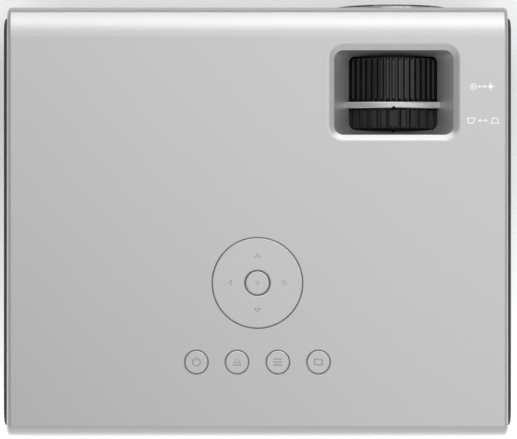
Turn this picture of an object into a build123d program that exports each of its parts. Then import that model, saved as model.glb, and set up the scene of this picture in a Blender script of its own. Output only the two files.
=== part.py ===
from build123d import *
import math
import os

# A tabletop projector with a disc tray in its front wall, seen from the front along +Y.
# X runs to the right, Y to the rear and Z up. All sizes are millimetres.
# Every piece is drawn about the middle of the case, and save() moves it so that the
# origin lies at the middle of the whole object's footprint.

# ---------------------------------------------------------------- driving dimensions
case_width = 236.0
case_depth = 202.0
case_top = 80.0
case_low = 4.0
wall = 2.4
gap = 0.5
parting_z = 14.0
bezel_out = 1.7
panel_out = 1.7

nose_radius = 5.0
nose_sweep = 60.0
shoulder_radius = 23.0
rear_top_radius = 5.0
front_low_radius = 10.0
rear_low_radius = 6.0
side_edge_radius = 2.2

axis_x = -64.2
axis_z = 44.0
ring_radius = 33.0
ring_bore = 24.8
tube_radius = 24.7
tube_bore = 22.1
barrel_radius = 22.0
focus_y = (-77.1, -57.0)
focus_ribs = 72
focus_pin_y = -67.0
focus_travel = 5.0
focus_swing = 60.0
keystone_y = (-53.0, -43.9)
keystone_ribs = 44
keystone_swing = 30.0
tilt_swing = 5.0
tilt_arm = 23.4
cam_pin_radius = 1.5
cam_play = 0.15
groove_radius = 27.35

well_rim = (61.6, 45.1)
well_knee = (56.2, 39.7)
well_floor = (41.8, 34.6)
well_corners = (6.9, 4.2, 2.9)
well_y = -60.7
well_depth = 9.8
well_lip = 1.15
well_skin = 1.8
bar_y = (-56.5, -53.4)
bar_radius = (41.6, 45.0)
bar_drop = 2.5

nav_y = 28.9
nav_radius = 21.15
nav_hub = 6.05
nav_button_radius = 5.55
nav_pivot_z = 71.5
key_y = 66.1
key_x = (-28.7, -9.6, 9.6, 28.7)
key_radius = 5.4
key_travel = 0.8
arrow_radius = 12.9
ring_switch_radius = 20.2
sign_depth = 0.28
sign_taper = 38.0
board_z = (60.4, 62.0)
stem_end_z = 67.3

drive_x = 45.0
drive_half = 64.0
drive_y = (-98.4, 28.5)
drive_z = (19.5, 32.5)
disc_radius = 60.0
small_disc_radius = 40.0
spindle_y = -36.0
tray_top_z = 29.0
tray_plate_z = 26.4
tray_low_z = 20.8
tray_y = (-98.9, 27.5)
tray_half = 60.0
tray_face = (130.0, 13.0)
rod_z = 23.6
screw_x = 22.0
sled_start = 22.0
rod_start = spindle_y + 12.5

engine_half = 29.0
engine_y = (-40.4, 52.0)
engine_z = (13.0, 72.0)
lcd_y = -22.0

fan_x = (-113.5, -103.5)
fan_centre = (61.0, 41.0)
fan_side = 50.0

mainboard_x = (-30.0, 111.5)
mainboard_y = (-18.0, 90.0)
mainboard_z = (36.0, 37.6)
socket_z = mainboard_z[1]
video_y = 36.0
data_y = 53.0
audio_y = 67.0
power_y = 80.0

vent_count = 19
vent_pitch = 5.4
vent_slot = 2.4
vent_z = (48.0, 62.0)

foot_place = (0.0, -78.0)
screw_posts = [(-109.0, -91.5), (112.3, -94.2), (-109.0, 93.0), (112.3, 93.6)]

# ---------------------------------------------------------------- derived values
front_y = -case_depth / 2
rear_y = case_depth / 2
half_width = case_width / 2
origin_shift = bezel_out / 2
nose_z = (
    case_top
    - nose_radius * math.sin(math.radians(nose_sweep))
    - shoulder_radius * (1 - math.cos(math.radians(90 - nose_sweep)))
)
inner_top = case_top - wall
inner_low = case_low + wall
focus_lead = focus_travel / math.radians(focus_swing)
keystone_lead = tilt_arm * tilt_swing / keystone_swing
keystone_pin_y = sum(keystone_y) / 2

CENTRE_LOW = (Align.CENTER, Align.CENTER, Align.MIN)


# ---------------------------------------------------------------- small helpers
def block(x, y, z):
    """Box between three pairs of limits."""
    middle = Pos(sum(x) / 2, sum(y) / 2, sum(z) / 2)
    return middle * Box(x[1] - x[0], y[1] - y[0], z[1] - z[0])


def rod_x(radius, x, y, z):
    """Round bar along X, between the two limits in x."""
    return Pos(x[0], y, z) * Rot(0, 90, 0) * Cylinder(radius, x[1] - x[0], align=CENTRE_LOW)


def rod_y(radius, x, y, z):
    """Round bar along Y, between the two limits in y."""
    return Pos(x, y[0], z) * Rot(-90, 0, 0) * Cylinder(radius, y[1] - y[0], align=CENTRE_LOW)


def rod_z_axis(radius, x, y, z):
    """Round bar along Z, between the two limits in z."""
    return Pos(x, y, z[0]) * Cylinder(radius, z[1] - z[0], align=CENTRE_LOW)


def plate_x(outline, x):
    """Flat piece across X: the outline's first axis is Y and its second is Z."""
    return extrude(Plane.YZ.offset(x[0]) * outline, x[1] - x[0])


def plate_y(outline, y):
    """Flat piece across Y: the outline's first axis is X and its second is Z."""
    return extrude(Plane.XZ.offset(-y[0]) * outline, y[0] - y[1])


def turned(points, x, z):
    """Revolve a closed outline of (radius, y) points about the axis at x, z along Y."""
    outline = make_face(Polyline(*points, close=True))
    return Pos(x, 0, z) * revolve(outline, Axis.Y)


def group(solids):
    """One node that holds separate solids of the same kind."""
    return Compound(children=[solid for piece in solids for solid in piece.solids()])


def save(node, piece):
    """Write one node, moved so that the origin is at the middle of the footprint."""
    export_step(Pos(0, origin_shift, 0) * piece, f"parts/{node}.step")


# ---------------------------------------------------------------- case
def case_section(inset):
    """Closed Y-Z section of the case, drawn inset from the outer skin."""
    y0, y1 = front_y + inset, rear_y - inset
    z0, z1 = case_low + inset, case_top - inset
    nose, shoulder = nose_radius - inset, shoulder_radius - inset
    back, low_f, low_r = rear_top_radius - inset, front_low_radius - inset, rear_low_radius - inset
    nose_centre = (front_y + nose_radius, nose_z)
    reach = (shoulder_radius - nose_radius) * math.cos(math.radians(nose_sweep))
    shoulder_centre = (nose_centre[0] + reach, case_top - shoulder_radius)
    back_centre = (rear_y - rear_top_radius, case_top - rear_top_radius)
    low_f_centre = (front_y + front_low_radius, case_low + front_low_radius)
    low_r_centre = (rear_y - rear_low_radius, case_low + rear_low_radius)
    edges = [
        Line((y0, low_f_centre[1]), (y0, nose_z)),
        CenterArc(nose_centre, nose, 180, -nose_sweep),
        CenterArc(shoulder_centre, shoulder, 180 - nose_sweep, nose_sweep - 90),
        Line((shoulder_centre[0], z1), (back_centre[0], z1)),
        CenterArc(back_centre, back, 90, -90),
        Line((y1, back_centre[1]), (y1, low_r_centre[1])),
        CenterArc(low_r_centre, low_r, 0, -90),
        Line((low_r_centre[0], z0), (low_f_centre[0], z0)),
        CenterArc(low_f_centre, low_f, 270, -90),
    ]
    return make_face(edges)


def panel_outline(inset):
    """Rounded outline of a side panel, about the middle of its plate."""
    size = (193.2 - 2 * inset, 67.0 - 2 * inset)
    return Pos(0.3, 42.0) * RectangleRounded(*size, 8.0 - inset / 2)


def case_shell():
    """Skin of the whole case before it is split into its two covers."""
    outer = extrude(Plane.YZ * case_section(0), half_width, both=True)
    ends = outer.faces().sort_by(Axis.X)
    outer = fillet(ends[0].edges() + ends[-1].edges(), side_edge_radius)
    inner = extrude(Plane.YZ * case_section(wall), half_width - wall, both=True)
    window = plate_x(panel_outline(3.5), (-half_width - 1, half_width + 1))
    return outer - inner - window


def well_section(size, radius, z):
    """Rounded rectangle of the ring well at a height."""
    return Plane.XY.offset(z) * Pos(axis_x, well_y) * RectangleRounded(*size, radius)


def beyond(near, far, share):
    """Carry two matching lists of sizes on past the second one by a share of their step."""
    return [b + (b - a) * share for a, b in zip(near, far)]


def ring_well(top_cover):
    """Add the tapered well over the two rings, with its sloping lip and arched bar."""
    floor_z = case_top - well_depth
    knee_z = case_top - well_lip
    over = 0.5
    outer = [(knee_z, well_knee, 6.0), (floor_z, well_floor, 5.0)]
    funnel = loft(
        [well_section([side + 2 * well_skin for side in size], radius, z) for z, size, radius in outer],
        ruled=True,
    )
    above = over / well_lip
    below = over / (knee_z - floor_z)
    corners = (
        well_corners[0] + (well_corners[0] - well_corners[1]) * above,
        well_corners[2] - (well_corners[1] - well_corners[2]) * below,
    )
    hollow = loft(
        [
            well_section(beyond(well_knee, well_rim, above), corners[0], case_top + over),
            well_section(well_knee, well_corners[1], knee_z),
            well_section(beyond(well_knee, well_floor, below), corners[1], floor_z - over),
        ],
        ruled=True,
    )
    cover = top_cover + funnel - hollow
    for z, radius in ((case_top, 3.0), (knee_z, 0.4)):
        edge = [
            edge
            for edge in cover.edges().filter_by_position(Axis.Z, z - 0.01, z + 0.01)
            if abs(edge.center().X - axis_x) < 32 and abs(edge.center().Y - well_y) < 24
        ]
        cover = fillet(edge, radius)
    return cover + arched_bar(floor_z)


def arched_bar(floor_z):
    """Bar that parts the two rings, with a notch that the pointer is read against."""
    bar_z = case_top - bar_drop - bar_radius[1]
    band = rod_y(bar_radius[1], axis_x, bar_y, bar_z)
    band = fillet(band.edges().filter_by(GeomType.CIRCLE), 0.6)
    band -= rod_y(bar_radius[0], axis_x, (bar_y[0] - 1, bar_y[1] + 1), bar_z)
    band -= rod_z_axis(0.9, axis_x, bar_y[1], (floor_z, case_top))
    return band & block((axis_x - 23.4, axis_x + 23.4), (bar_y[0] - 1, bar_y[1] + 1), (floor_z, case_top))


def button_holes():
    """Openings of the top cover over the ring and the four keys."""
    holes = rod_z_axis(nav_radius + gap, 0, nav_y, (inner_top - 1, case_top + 1))
    for x in key_x:
        holes += rod_z_axis(key_radius + gap, x, key_y, (inner_top - 1, case_top + 1))
    return holes


def rear_vents():
    """Row of upright slots through the rear wall, and the slot for a security cable."""
    wall_y = (rear_y - wall - 1, rear_y + 1)
    cuts = rod_y(1.5, -93.0, wall_y, 30.0) + rod_y(1.5, -89.0, wall_y, 30.0)
    cuts += block((-93.0, -89.0), wall_y, (28.5, 31.5))
    for step in range(vent_count):
        x = (step - (vent_count - 1) / 2) * vent_pitch
        cuts += block((x - vent_slot / 2, x + vent_slot / 2), wall_y, vent_z)
    return cuts


def tray_opening():
    """Hole in the front wall that the tray's face closes."""
    width, height = tray_face[0] + 0.8, tray_face[1] + 0.8
    middle_z = sum(drive_z) / 2 + 0.1
    outline = Pos(drive_x, middle_z) * RectangleRounded(width, height, 1.6)
    return plate_y(outline, (front_y - 1, front_y + wall + 1))


def top_cover():
    """Silver upper cover: top, upper front and rear walls, ring well and screw posts."""
    cover = case_shell() & block((-130, 130), (-110, 110), (parting_z + 0.2, 90))
    mid_wall = extrude(Plane.YZ * case_section(wall / 2), half_width - wall / 2, both=True)
    for x, y in screw_posts:
        cover += rod_z_axis(2.8, x, y, (parting_z + 0.2, case_top)) & mid_wall
        cover -= rod_z_axis(1.4, x, y, (parting_z - 1, 30))
    for x in (-31.5, 39.5):
        for y in (8.5, 78.5):
            cover += rod_z_axis(2.4, x, y, (board_z[1], inner_top + 0.5))
    for y in (-20.0, 0.0):
        cover += block((-112, -100), (y - 0.7, y + 0.7), (inner_top - 5, inner_top + 0.5))
    cover = ring_well(cover)
    cover -= rod_y(tube_radius - 0.1, axis_x, (front_y - 1, front_y + wall + 1), axis_z)
    cover -= plate_y(Pos(0, 57) * RectangleRounded(16.2, 7.2, 1.6), (front_y - 1, front_y + wall + 1))
    return cover - button_holes() - tray_opening() - rear_vents()


def foot_well():
    """Socket moulded in the bottom cover for the screw foot."""
    x, y = foot_place
    boss = rod_z_axis(6.5, x, y, (inner_low - 0.5, 18.5))
    pocket = rod_z_axis(10.5, x, y, (case_low - 1, case_low + 1.0))
    bore = rod_z_axis(3.06, x, y, (case_low - 1, 19.5))
    return boss, pocket + bore


def underside_vents():
    """Two fields of intake slots under the heat sink and the boards."""
    slots = []
    for centre, count in (((-60.0, 68.0), 9), ((50.0, 62.0), 9)):
        for step in range(count):
            x = centre[0] + (step - (count - 1) / 2) * 6.0
            slots.append(block((x - 1.2, x + 1.2), (centre[1] - 15, centre[1] + 15), (3, 8)))
    return slots


def foot_places():
    """Centres of the four fixed feet."""
    return [(x, y) for x in (-98.0, 98.0) for y in (-80.0, 82.0)]


def bottom_cover():
    """Dark lower pan with its bosses and, underneath, a shallow blank plate seat."""
    pan = case_shell() & block((-130, 130), (-110, 110), (0, parting_z - 0.2))
    lip_outer = extrude(Plane.YZ * case_section(wall + 0.15), half_width - wall - 0.15, both=True)
    lip_inner = extrude(Plane.YZ * case_section(wall + 1.35), half_width - wall - 1.35, both=True)
    lip_band = block((-130, 130), (-110, 110), (parting_z - 1.7, parting_z + 2.6))
    lip = (lip_outer - lip_inner) & lip_band
    lip -= plate_x(panel_outline(2.5), (-130, 130))
    lip -= tray_opening()
    for x, y in screw_posts:
        lip -= rod_z_axis(3.4, x, y, (10, 20))
    pan += lip
    for x in (drive_x - 56, drive_x + 56):
        for y in (-84.0, 18.0):
            pan += rod_z_axis(3.5, x, y, (inner_low - 0.5, drive_z[0]))
    for x in (axis_x - 24, axis_x + 24):
        for y in (-30.0, 40.0):
            pan += rod_z_axis(4.0, x, y, (inner_low - 0.5, engine_z[0]))
    for x in (-16.0, 96.0):
        pan += rod_z_axis(3.5, x, 84.0, (inner_low - 0.5, mainboard_z[0]))
    for y in (fan_centre[0] - 20, fan_centre[0] + 20):
        pan += block((fan_x[0] - 1.6, fan_x[1] + 1.6), (y - 2, y + 2), (inner_low - 0.5, fan_centre[1] - 25))
    for x, y in screw_posts:
        pan += rod_z_axis(3.6, x, y, (inner_low - 0.5, parting_z + 0.2))
        pan -= rod_z_axis(3.1, x, y, (case_low - 1, 7.6)) + rod_z_axis(1.6, x, y, (7, 20))
    for x, y in foot_places():
        pan -= rod_z_axis(7.2, x, y, (case_low - 1, case_low + 0.8))
    pan += rod_z_axis(6.0, 0, 20.0, (inner_low - 0.5, case_low + 9.5))
    pan -= rod_z_axis(4.6, 0, 20.0, (case_low - 1, case_low + 8.5))
    boss, opening = foot_well()
    pan = pan + boss - opening
    for slot in underside_vents():
        pan -= slot
    return pan - block((-86.0, -26.0), (-34.0, 0.0), (case_low - 1, case_low + 0.3))


def side_panel(side):
    """Blank dark side panel: a rounded plate with a rim that fits the case's window."""
    skin = (half_width, half_width + panel_out)
    plate = plate_x(panel_outline(0), skin)
    outer = plate.faces().sort_by(Axis.X)[-1]
    plate = fillet(outer.edges(), panel_out - 0.3)
    rim = plate_x(panel_outline(3.8), (half_width - wall - 0.4, half_width + 0.2))
    rim -= plate_x(panel_outline(5.6), (half_width - wall - 1, half_width))
    panel = plate + rim
    return panel if side > 0 else mirror(panel, Plane.YZ)


def slot_field(x, y_range, z_range, count):
    """Row of upright slots through a side panel."""
    pitch = (y_range[1] - y_range[0]) / count
    slots = []
    for step in range(count):
        y = y_range[0] + (step + 0.5) * pitch
        slots.append(block(x, (y - pitch * 0.3, y + pitch * 0.3), z_range))
    return slots


def disc_side_panel():
    """Panel beside the drive, with speaker slots and the sockets' openings."""
    panel = side_panel(1)
    span = (half_width - 1, half_width + 4)
    for slot in slot_field(span, (-82.0, -28.0), (42.0, 66.0), 12):
        panel -= slot
    panel -= plate_x(Pos(video_y, socket_z + 3.2) * RectangleRounded(15.8, 7.0, 1.0), span)
    panel -= plate_x(Pos(data_y, socket_z + 3.6) * RectangleRounded(14.0, 7.2, 0.8), span)
    panel -= rod_x(4.1, span, audio_y, socket_z + 4.0)
    panel -= rod_x(4.7, span, power_y, socket_z + 5.0)
    return panel


def lens_side_panel():
    """Panel beside the lens, with speaker slots and the exhaust grille."""
    panel = side_panel(-1)
    span = (-half_width - 4, -half_width + 1)
    for slot in slot_field(span, (-34.0, 20.0), (30.0, 54.0), 12):
        panel -= slot
    y, z = fan_centre
    for row in range(9):
        level = z - 20 + row * 5.0
        reach = math.sqrt(max(22.5 ** 2 - (level - z) ** 2, 0)) + 1.5
        panel -= block(span, (y - reach, y + reach), (level - 1.5, level + 1.5))
    panel += block((-half_width - panel_out + 0.3, -half_width), (y - 0.9, y + 0.9), (z - 22, z + 22))
    return panel


def rubber_feet():
    """Four moulded feet, each set in a shallow pocket of the bottom cover."""
    feet = []
    for x, y in foot_places():
        foot = rod_z_axis(7.0, x, y, (0, case_low + 0.8))
        foot = chamfer(foot.edges().sort_by(Axis.Z)[0], 0.8)
        feet.append(foot)
    return group(feet)


def case_screws():
    """Long screws that pull the two covers together."""
    screws = []
    for x, y in screw_posts:
        head = rod_z_axis(2.9, x, y, (5.6, 7.6))
        shank = rod_z_axis(1.4, x, y, (7.4, 26.0))
        cross = block((x - 1.6, x + 1.6), (y - 0.3, y + 0.3), (5, 6.6))
        cross += block((x - 0.3, x + 0.3), (y - 1.6, y + 1.6), (5, 6.6))
        screws.append(head + shank - cross)
    return group(screws)


def tripod_insert():
    """Brass insert with the tapped hole for a stand."""
    insert = rod_z_axis(4.6, 0, 20.0, (case_low + 0.2, case_low + 8.5))
    return insert - rod_z_axis(2.55, 0, 20.0, (case_low - 1, case_low + 8.2))


def foot_pad():
    """Non-turning rubber pad under the screw foot, held by the screw's ball end."""
    x, y = foot_place
    pad = rod_z_axis(8.0, x, y, (0.2, 1.8))
    pad = chamfer(pad.edges().sort_by(Axis.Z)[0], 0.6)
    return pad - rod_z_axis(3.1, x, y, (1.0, 2.5))


def foot_screw():
    """Knurled wheel and stud of the screw foot."""
    x, y = foot_place
    wheel = rod_z_axis(9.5, x, y, (1.9, 4.6))
    for step in range(12):
        turn = Pos(x, y) * Rot(0, 0, step * 30)
        wheel -= turn * Pos(9.9, 0, 3.2) * Cylinder(1.0, 6)
    return wheel + rod_z_axis(3.0, x, y, (1.1, 17.5))


def ir_window():
    """Dark window over the remote sensor, set in the front wall."""
    pane = plate_y(Pos(0, 57) * RectangleRounded(16.0, 7.0, 1.5), (front_y - 0.2, front_y + wall))
    flange = plate_y(Pos(0, 57) * RectangleRounded(19.0, 10.0, 2.0), (front_y + wall, front_y + wall + 1))
    return pane + flange


# ---------------------------------------------------------------- lens and rings
def lens_bezel():
    """Glossy ring round the lens mouth, with a rounded rim and a deep black funnel."""
    y = front_y
    rim = y - bezel_out
    outline = [
        (27.5, y),
        (27.5, rim + 0.9),
        (27.24, rim + 0.27),
        (26.6, rim),
        (25.6, rim),
        (25.0, rim + 0.3),
        (21.4, y + 3.6),
        (20.6, y + 4.2),
        (20.6, y + 6.0),
        (24.5, y + 6.0),
        (24.5, y),
    ]
    return turned(outline, axis_x, axis_z)


def polar_y(angle):
    """Turn about the lens axis: 0 is straight up, and the angle grows from +Z to +X."""
    return Pos(axis_x, 0, axis_z) * Rot(0, angle, 0)


def lens_tube():
    """Fixed tube: bearing of both rings, with cam slots, keyway and rear flange."""
    tube = rod_y(tube_radius, axis_x, (front_y + 6, engine_y[0]), axis_z)
    flange = rod_y(29.0, axis_x, (engine_y[0] - 3, engine_y[0]), axis_z)
    tube += flange - block((-130, 0), (-60, 0), (case_top - well_depth - 0.7, 90))
    tube -= rod_y(tube_bore, axis_x, (front_y, engine_y[0] + 1), axis_z)
    half = focus_travel + cam_pin_radius + 0.25
    for angle in (60, 180, 300):
        slot = block((-1.65, 1.65), (focus_pin_y - half, focus_pin_y + half), (20, 26))
        tube -= polar_y(angle) * slot
    tube -= polar_y(0) * block((-2.7, 2.7), (keystone_y[0] + 0.8, engine_y[0] + 1), (21, 24.75))
    for angle in (45, 135, 225, 315):
        tube -= polar_y(angle) * rod_y(1.5, 0, (engine_y[0] - 4, engine_y[0] + 1), 26.8)
    return tube


def ring_spacers():
    """Retainer in front of the focus ring and spacer between the two rings."""
    spacers = []
    front = (focus_y[0] - 1.7, focus_y[0] - 0.3)
    middle = (focus_y[1] + 0.4, keystone_y[0] - 0.4)
    for y, radius in ((front, 25.8), (middle, 28.6)):
        disc = rod_y(radius, axis_x, y, axis_z)
        spacers.append(disc - rod_y(tube_radius, axis_x, (y[0] - 1, y[1] + 1), axis_z))
    return group(spacers)


def ribbed_ring(y, ribs, root, groove_share, chamfer_size):
    """Ring along Y with straight grip ribs and chamfered ends."""
    tip = ring_radius
    pitch = 2 * math.pi / ribs
    points = []
    for step in range(ribs):
        centre = step * pitch
        for offset, radius in (
            (-0.5 * groove_share, tip),
            (-0.22 * groove_share, root),
            (0.22 * groove_share, root),
            (0.5 * groove_share, tip),
        ):
            angle = centre + (offset + 0.5) * pitch
            points.append((radius * math.sin(angle), radius * math.cos(angle)))
    outline = make_face(Polyline(*points, close=True))
    middle = sum(y) / 2
    ring = Pos(axis_x, y[1], axis_z) * extrude(Plane.XZ * outline, y[1] - y[0])
    bevel = chamfer_size
    bound = turned(
        [
            (20.0, y[0]),
            (tip - bevel, y[0]),
            (tip + 0.5, y[0] + bevel + 0.5),
            (tip + 0.5, y[1] - bevel - 0.5),
            (tip - bevel, y[1]),
            (20.0, y[1]),
        ],
        axis_x,
        axis_z,
    )
    ring = ring & bound
    return ring - rod_y(ring_bore, axis_x, (y[0] - 1, y[1] + 1), axis_z)


def helical_groove(lead, swing, y, angle):
    """Cutter for a cam groove that climbs lead millimetres per radian about the lens axis."""
    pitch = 2 * math.pi * lead
    margin = math.degrees((cam_pin_radius + 2 * cam_play) / ring_bore) + 1.0
    turn = 2 * (swing + margin)
    low = 24.3
    radius = (low + groove_radius) / 2
    path = Helix(pitch, pitch * turn / 360, radius)
    profile = Plane(origin=path @ 0, x_dir=(1, 0, 0), z_dir=path % 0) * Rectangle(
        groove_radius - low, 2 * (cam_pin_radius + cam_play)
    )
    groove = sweep(profile, path=path, is_frenet=True)
    centred = Pos(0, 0, -pitch * turn / 720) * Rot(0, 0, -turn / 2) * groove
    along_y = Rot(-90, 0, 0) * centred
    return Pos(axis_x, y, axis_z) * Rot(0, angle - 90, 0) * along_y


def focus_ring():
    """Grip ring whose three bore grooves drive the lens barrel in and out."""
    ring = ribbed_ring(focus_y, focus_ribs, 31.6, 0.62, 1.0)
    for angle in (60, 180, 300):
        ring -= helical_groove(focus_lead, focus_swing, focus_pin_y, angle)
    return ring


def keystone_ring():
    """Narrow grip ring with a raised pointer and one bore groove for the tilt slider."""
    ring = ribbed_ring(keystone_y, keystone_ribs, 31.9, 0.5, 0.7)
    pointer = block((-2.4, 2.4), (keystone_y[0] + 0.6, keystone_y[1] - 0.9), (30.5, 33.4))
    pointer = fillet(pointer.edges().filter_by(Axis.Y).sort_by(Axis.Z)[-2:], 0.8)
    ring += polar_y(0) * pointer
    return ring - helical_groove(keystone_lead, keystone_swing, keystone_pin_y, 0)


def cam_pins():
    """Three steel pins that tie the barrel to the focus ring's grooves."""
    pins = [
        polar_y(angle) * Pos(0, focus_pin_y, 0) * rod_z_axis(cam_pin_radius, 0, 0, (19.4, 27.0))
        for angle in (60, 180, 300)
    ]
    return group(pins)


def lens_barrel():
    """Sliding barrel with a stepped bore that seats the front and rear glasses."""
    y0, y1 = -89.0, -50.0
    outline = [
        (barrel_radius, y0),
        (19.0, y0),
        (18.2, y0 + 1.0),
        (18.2, y0 + 1.3),
        (19.6, y0 + 1.3),
        (19.6, y0 + 6.0),
        (17.0, y0 + 6.0),
        (17.0, y1 - 6.0),
        (18.6, y1 - 6.0),
        (18.6, y1 - 1.0),
        (19.6, y1),
        (barrel_radius, y1),
    ]
    barrel = turned(outline, axis_x, axis_z)
    for angle in (60, 180, 300):
        hole = rod_z_axis(cam_pin_radius, 0, 0, (19.4, 24))
        barrel -= polar_y(angle) * Pos(0, focus_pin_y, 0) * hole
    return barrel


def dome(start, radius, bulge):
    """Half section of a bulging face, level at the axis and falling towards the rim."""
    middle = (radius * 0.55, start[1])
    rim = (radius, start[1] - bulge)
    return Bezier(start, middle, rim)


def lens_disc(radius, y, front_bulge, rear_bulge):
    """Round glass with bulging faces; a bulge is how far the middle stands proud."""
    front = (0, y[0] - front_bulge)
    rear = (0, y[1] + rear_bulge)
    edges = [
        dome(front, radius, -front_bulge) if front_bulge else Line(front, (radius, y[0])),
        Line((radius, y[0]), (radius, y[1])),
        dome(rear, radius, rear_bulge) if rear_bulge else Line(rear, (radius, y[1])),
        Line(rear, front),
    ]
    return Pos(axis_x, 0, axis_z) * revolve(make_face(edges), Axis.Y)


# ---------------------------------------------------------------- light engine
def keystone_slider():
    """Bar that carries the keystone ring's motion back to the tilting panel."""
    fork_y = (lcd_y - 4.0, lcd_y + 4.0)
    bar = block((-2.5, 2.5), (keystone_y[0] + 3.2, fork_y[0] + 1), (22.3, 24.5))
    bar += block((-5.2, 5.2), fork_y, (22.3, 24.5))
    bar -= block((-3.4, 3.4), (lcd_y - 1.08, lcd_y + 1.08), (20, 26))
    bar += Pos(0, keystone_pin_y, 0) * rod_z_axis(cam_pin_radius, 0, 0, (23.5, 27.0))
    return polar_y(0) * bar


def lcd_carrier():
    """Tilting frame of the picture panel, with trunnions and a pinned arm on top."""
    frame = plate_y(RectangleRounded(49.0, 40.0, 2.0), (lcd_y - 2.0, lcd_y + 2.0))
    frame -= plate_y(Rectangle(40.0, 31.0), (lcd_y - 3.0, lcd_y + 3.0))
    frame -= plate_y(Rectangle(43.2, 34.2), (lcd_y - 0.6, lcd_y + 3.0))
    frame += rod_x(1.5, (-28.6, -23.0), lcd_y, 0) + rod_x(1.5, (23.0, 28.6), lcd_y, 0)
    frame += block((-3.0, 3.0), (lcd_y - 0.7, lcd_y + 0.7), (19.5, tilt_arm))
    frame += rod_x(1.0, (-3.0, 3.0), lcd_y, tilt_arm)
    return polar_y(0) * frame


def lcd_panel():
    """Picture panel seated in its carrier."""
    glass = plate_y(Rectangle(43.0, 34.0), (lcd_y - 0.6, lcd_y + 1.8))
    return polar_y(0) * glass


def engine_housing():
    """Open-topped box of the light path, with grooves for the fixed optics."""
    x = (axis_x - engine_half, axis_x + engine_half)
    inner_x = (x[0] + wall, x[1] - wall)
    box = block(x, engine_y, (engine_z[0], engine_z[1] - wall))
    box -= block(inner_x, (engine_y[0] + wall, engine_y[1] - wall), (engine_z[0] + wall, 90))
    box -= rod_y(20.5, axis_x, (engine_y[0] - 1, engine_y[0] + wall + 1), axis_z)
    key_slot = block((-5.8, 5.8), (engine_y[0] - 1, engine_y[0] + wall + 1), (21.9, 24.9))
    box -= polar_y(0) * key_slot
    box -= block((axis_x - 17, axis_x + 17), (engine_y[1] - wall - 1, engine_y[1] + 1), (27, 61))
    box -= rod_x(1.58, (x[0] - 1, x[1] + 1), lcd_y, axis_z)
    for y in (-33.4, -10.0, 15.0):
        for side in (-1, 1):
            edge = axis_x + side * (engine_half - wall - 1.5)
            for shift in (-1.6, 1.6):
                rib_y = y + shift
                box += block((edge - 1.8, edge + 1.8), (rib_y - 0.5, rib_y + 0.5), (14, 66))
    for corner in ((-1, -30.0), (1, -30.0), (-1, 40.0), (1, 40.0)):
        box -= rod_z_axis(1.3, axis_x + corner[0] * 24, corner[1], (engine_z[0] - 1, engine_z[0] + wall + 1))
    return box


def engine_lid():
    """Lid of the light engine."""
    x = (axis_x - engine_half, axis_x + engine_half)
    lid = block(x, engine_y, (engine_z[1] - wall, engine_z[1]))
    for side in (-1, 1):
        for y in (-36.0, 5.0, 48.0):
            place = axis_x + side * (engine_half - 3.2)
            lid += rod_z_axis(2.2, place, y, (engine_z[1] - 0.5, engine_z[1] + 1.2))
    return lid


def optic_plate(y, thickness):
    """Square plate optic held between two pairs of ribs."""
    half = thickness / 2
    z = (engine_z[0] + wall, 65.0)
    inner = engine_half - wall
    return block((axis_x - inner, axis_x + inner), (y - half, y + half), z)


def fresnel_lenses():
    """The two flat field lenses, one each side of the picture panel."""
    return group([optic_plate(-33.4, 2.0), optic_plate(-10.0, 2.0)])


def condenser_lens():
    """Plano-convex glass with its square holder flange."""
    plate = optic_plate(15.0, 2.0)
    return plate + lens_disc(21.0, (15.0, 17.0), 0, 6.0)


def led_module():
    """Light source: copper-cored board with its collimator cup."""
    board = block((axis_x - 20, axis_x + 20), (engine_y[1], engine_y[1] + 2.0), (24, 64))
    cup = turned(
        [(5.0, 51.9), (15.0, 40.0), (13.6, 40.0), (3.6, 51.9)],
        axis_x,
        axis_z,
    )
    chip = block((axis_x - 3, axis_x + 3), (engine_y[1] - 1.2, engine_y[1] + 0.1), (axis_z - 3, axis_z + 3))
    return board + cup + chip


def heat_sink():
    """Finned block behind the light source; air passes between its fins along X."""
    base_y = engine_y[1] + 2.0
    x = (-97.0, -36.6)
    sink = block(x, (base_y, base_y + 4.0), (18, 70))
    for step in range(13):
        z = 19.0 + step * 4.0
        sink += block(x, (base_y + 3.9, base_y + 34.0), (z - 0.6, z + 0.6))
    for side in (-1, 1):
        leg = axis_x + side * 22
        sink += block((leg - 3, leg + 3), (base_y, base_y + 4.0), (inner_low, 18.5))
    return sink


def fan_frame():
    """Square frame of the exhaust fan with its motor spider."""
    y, z = fan_centre
    frame = plate_x(Pos(y, z) * RectangleRounded(fan_side, fan_side, 3.0), fan_x)
    frame -= rod_x(23.6, (fan_x[0] - 1, fan_x[1] + 1), y, z)
    for dy in (-21.0, 21.0):
        for dz in (-21.0, 21.0):
            frame -= rod_x(2.0, (fan_x[0] - 1, fan_x[1] + 1), y + dy, z + dz)
    spider_x = (fan_x[1] - 1.6, fan_x[1])
    spider = rod_x(11.0, spider_x, y, z)
    for angle in (45, 135, 225, 315):
        strut = plate_x(Rectangle(15, 2.4), spider_x)
        strut = Pos(0, y, z) * Rot(angle, 0, 0) * Pos(0, 16.8, 0) * strut
        spider += strut
    spider += rod_x(1.0, (fan_x[0] + 1.6, fan_x[1]), y, z)
    return frame + spider


def fan_rotor():
    """Seven-bladed rotor that turns on the spider's shaft."""
    y, z = fan_centre
    hub_x = (fan_x[0] + 0.6, fan_x[1] - 2.0)
    rotor = rod_x(10.5, hub_x, y, z)
    rotor = chamfer(rotor.edges().sort_by(Axis.X)[0], 1.2)
    for step in range(7):
        blade = Box(1.0, 13.0, 9.5)
        blade = Rot(step * 360 / 7, 0, 0) * Pos(0, 16.2, 0) * Rot(0, 36, 0) * blade
        rotor += Pos(sum(hub_x) / 2, y, z) * blade
    rotor -= rod_x(1.06, (hub_x[0] + 0.8, hub_x[1] + 1), y, z)
    return rotor


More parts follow.
